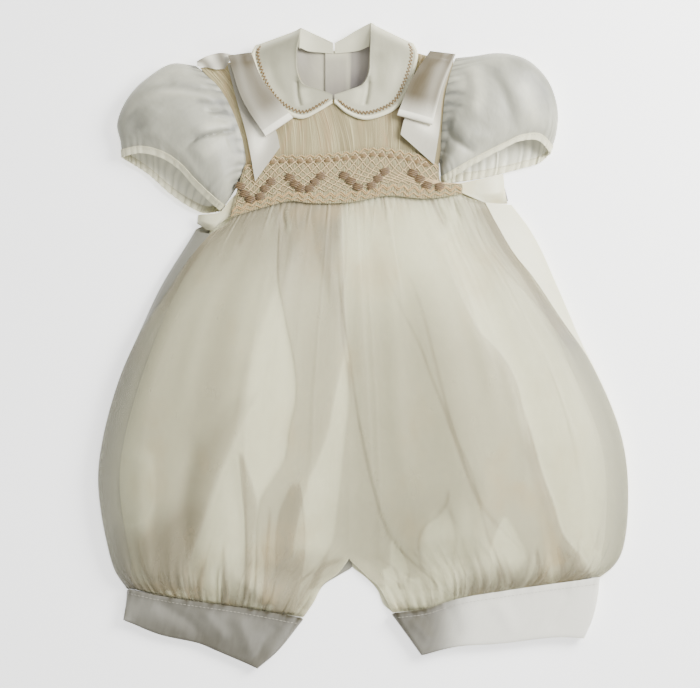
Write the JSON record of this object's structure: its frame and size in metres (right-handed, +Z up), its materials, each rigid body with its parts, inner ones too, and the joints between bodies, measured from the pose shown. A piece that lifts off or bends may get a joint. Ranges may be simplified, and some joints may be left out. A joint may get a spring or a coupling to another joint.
{
  "type": "smocked romper laid flat",
  "caption": "Baby's smocked bubble romper laid flat on its back: sheer gathered overlay on satin, puffed sleeves, round collar, satin shoulder bows, leg cuffs.",
  "frame": {"origin": "bottom centre of the laid garment's box, on the surface it lies on", "axes": "+X the viewer's right looking down on the front, +Y towards the neck, +Z up from the surface"},
  "size_m": [0.3826, 0.466, 0.0348],
  "materials": {
    "organza": "sheer crisp organza, pale beige",
    "lining": "ivory satin lining",
    "satin": "ivory satin, soft sheen",
    "pleated": "finely pleated beige organza over cloth",
    "smocked": "lattice smocking in cream and taupe thread",
    "collar": "fine cool ivory cotton and silk cloth",
    "sleeve": "fine cool ivory cotton and silk cloth, gathered",
    "ribbon": "double-faced satin ribbon",
    "piping": "bias binding and piping, cream",
    "button": "small ivory shirt buttons"
  },
  "bodies": {
    "root": {"overlay_front_left": "organza", "overlay_front_right": "organza", "lining_front_left": "lining", "lining_front_right": "lining", "bloomer_back_left": "satin", "bloomer_back_right": "satin", "leg_cuff_left": "satin", "leg_cuff_right": "satin", "side_panel_left": "satin", "side_panel_right": "satin", "back_bodice_left": "satin", "back_bodice_right": "satin", "chest_panel": "pleated", "smocked_band": "smocked", "collar_left": "collar", "collar_right": "collar", "collar_piping_left": "piping", "collar_piping_right": "piping", "ribbon_loop_left": "ribbon", "ribbon_loop_right": "ribbon", "ribbon_tail_left": "ribbon", "ribbon_tail_right": "ribbon", "ribbon_shoulder_left": "ribbon", "sleeve_left": "sleeve", "sleeve_right": "sleeve", "sleeve_binding_left": "piping", "sleeve_binding_right": "piping", "button_1": "button", "button_2": "button", "button_3": "button"}
  },
  "joints": []
}
